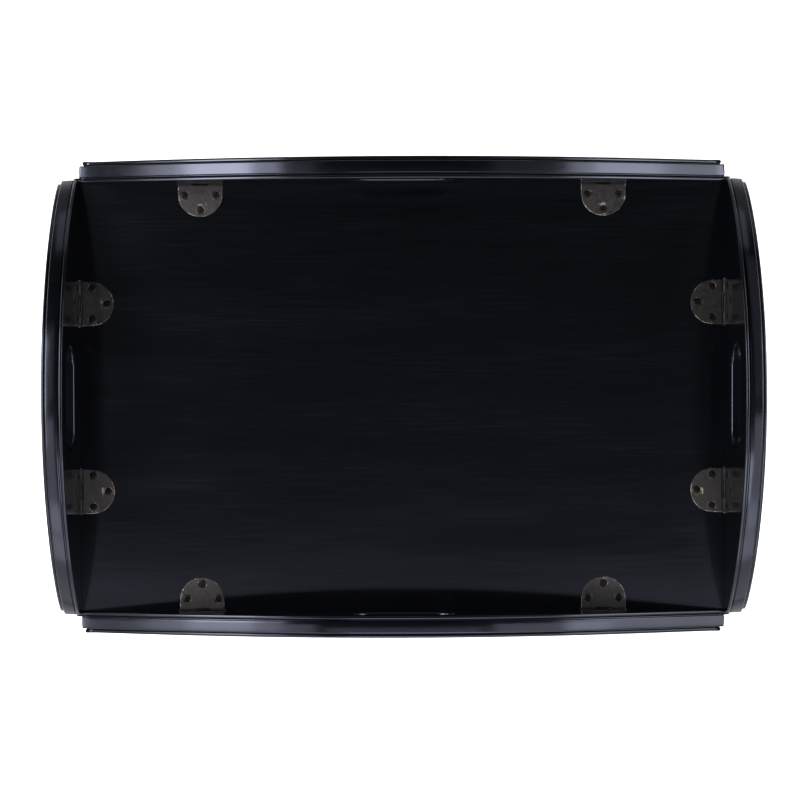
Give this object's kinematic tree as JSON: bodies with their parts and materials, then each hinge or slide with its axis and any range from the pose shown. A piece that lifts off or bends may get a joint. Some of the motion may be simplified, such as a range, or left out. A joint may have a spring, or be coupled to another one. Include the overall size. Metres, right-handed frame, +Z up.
{
  "type": "butler coffee table",
  "caption": "Butler coffee table: a black lacquered tray on a square-legged stand, with hinged leaves that fold up round the tray or down level with it, each with a hand hole.",
  "frame": {"origin": "on the floor under the middle of the tray", "axes": "+X along the tray's long side, to the right in the picture; +Y towards the back leaf; +Z up"},
  "size_m": [0.7764, 0.532, 0.5709],
  "materials": {
    "black_lacquer": "satin black lacquer",
    "antique_brass": "dark antique, worn at the edges",
    "blued_steel": "blued",
    "secondary_wood": "bare",
    "glide_nylon": "matt"
  },
  "bodies": {
    "table": {"tray_panel": "black_lacquer", "tray_plate_front_left": "antique_brass", "tray_plate_front_right": "antique_brass", "tray_plate_back_left": "antique_brass", "tray_plate_back_right": "antique_brass", "tray_plate_left_front": "antique_brass", "tray_plate_left_back": "antique_brass", "tray_plate_right_front": "antique_brass", "tray_plate_right_back": "antique_brass", "hinge_pin_front_left": "antique_brass", "hinge_pin_front_right": "antique_brass", "hinge_pin_back_left": "antique_brass", "hinge_pin_back_right": "antique_brass", "hinge_pin_left_front": "antique_brass", "hinge_pin_left_back": "antique_brass", "hinge_pin_right_front": "antique_brass", "hinge_pin_right_back": "antique_brass", "detent_spring_front_left": "blued_steel", "detent_spring_front_right": "blued_steel", "detent_spring_back_left": "blued_steel", "detent_spring_back_right": "blued_steel", "detent_spring_left_front": "blued_steel", "detent_spring_left_back": "blued_steel", "detent_spring_right_front": "blued_steel", "detent_spring_right_back": "blued_steel", "leg_front_left": "black_lacquer", "leg_front_right": "black_lacquer", "leg_back_left": "black_lacquer", "leg_back_right": "black_lacquer", "apron_front": "black_lacquer", "apron_back": "black_lacquer", "apron_left": "black_lacquer", "apron_right": "black_lacquer", "stretcher_left": "black_lacquer", "stretcher_right": "black_lacquer", "stretcher_centre": "black_lacquer", "corner_block_front_left": "secondary_wood", "corner_block_front_right": "secondary_wood", "corner_block_back_left": "secondary_wood", "corner_block_back_right": "secondary_wood", "glide_front_left": "glide_nylon", "glide_front_right": "glide_nylon", "glide_back_left": "glide_nylon", "glide_back_right": "glide_nylon", "cleat_left": "secondary_wood", "cleat_right": "secondary_wood"},
    "front_leaf": {"leaf_front": "black_lacquer", "leaf_plate_front_left": "antique_brass", "leaf_plate_front_right": "antique_brass"},
    "back_leaf": {"leaf_back": "black_lacquer", "leaf_plate_back_left": "antique_brass", "leaf_plate_back_right": "antique_brass"},
    "left_leaf": {"leaf_left": "black_lacquer", "leaf_plate_left_front": "antique_brass", "leaf_plate_left_back": "antique_brass"},
    "right_leaf": {"leaf_right": "black_lacquer", "leaf_plate_right_front": "antique_brass", "leaf_plate_right_back": "antique_brass"}
  },
  "joints": [
    {"name": "front_fold", "type": "hinge", "parent": "table", "child": "front_leaf", "pos_m": [0, -0.2438, 0.4555], "axis": [1, 0, 0], "range_deg": [0, 94.9]},
    {"name": "back_fold", "type": "hinge", "parent": "table", "child": "back_leaf", "pos_m": [0, 0.2438, 0.4555], "axis": [-1, 0, 0], "range_deg": [0, 94.9]},
    {"name": "left_fold", "type": "hinge", "parent": "table", "child": "left_leaf", "pos_m": [-0.36575, 0, 0.4555], "axis": [0, -1, 0], "range_deg": [0, 90.5]},
    {"name": "right_fold", "type": "hinge", "parent": "table", "child": "right_leaf", "pos_m": [0.36575, 0, 0.4555], "axis": [0, 1, 0], "range_deg": [0, 90.5]}
  ]
}
